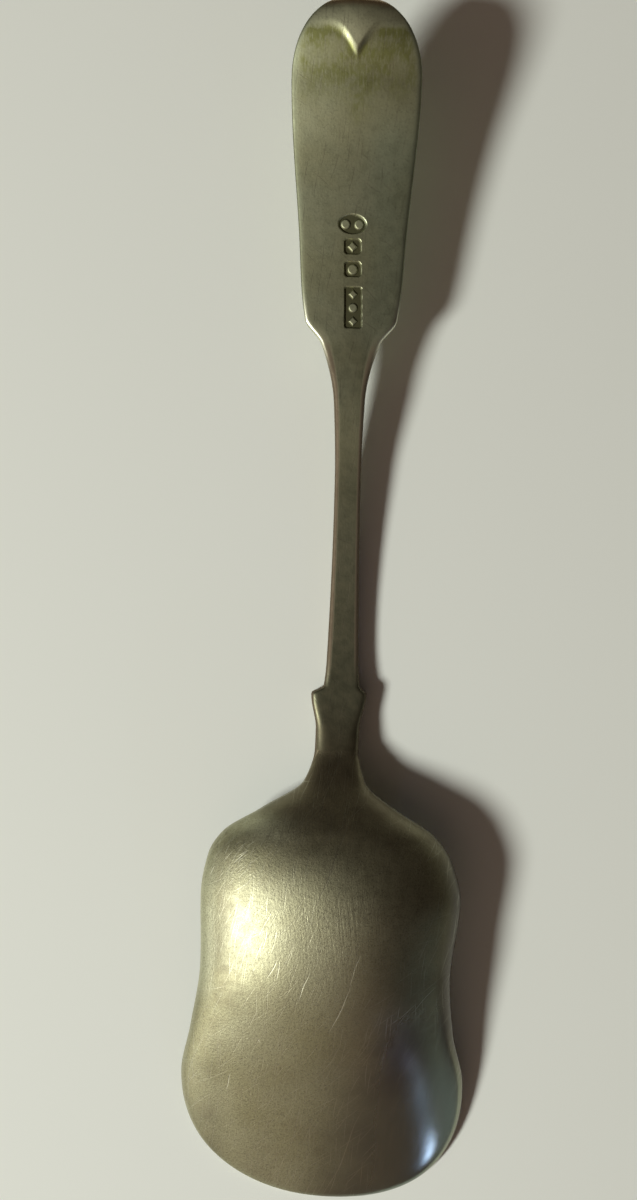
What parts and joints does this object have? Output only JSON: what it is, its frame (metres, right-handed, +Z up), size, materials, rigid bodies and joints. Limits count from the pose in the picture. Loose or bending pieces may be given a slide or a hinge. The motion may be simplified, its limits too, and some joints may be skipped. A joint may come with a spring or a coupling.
{
  "type": "serving spoon",
  "caption": "Fiddle-pattern serving spoon with a shovel-shaped bowl, small lugs at the neck, a slim stem and a raised pip on the back of the handle's end.",
  "frame": {"origin": "middle of the spoon's bounding box, on the surface that it lies on", "axes": "+Y along the spoon to the end of the handle, +Z up out of the spoon's back, +X across it to the right seen from the back"},
  "size_m": [0.05, 0.2054, 0.0212],
  "materials": {
    "bowl_metal": "satin",
    "solder": "satin",
    "handle_metal": "satin"
  },
  "bodies": {
    "root": {"bowl": "bowl_metal", "solder_seam": "solder", "handle": "handle_metal"}
  },
  "joints": []
}
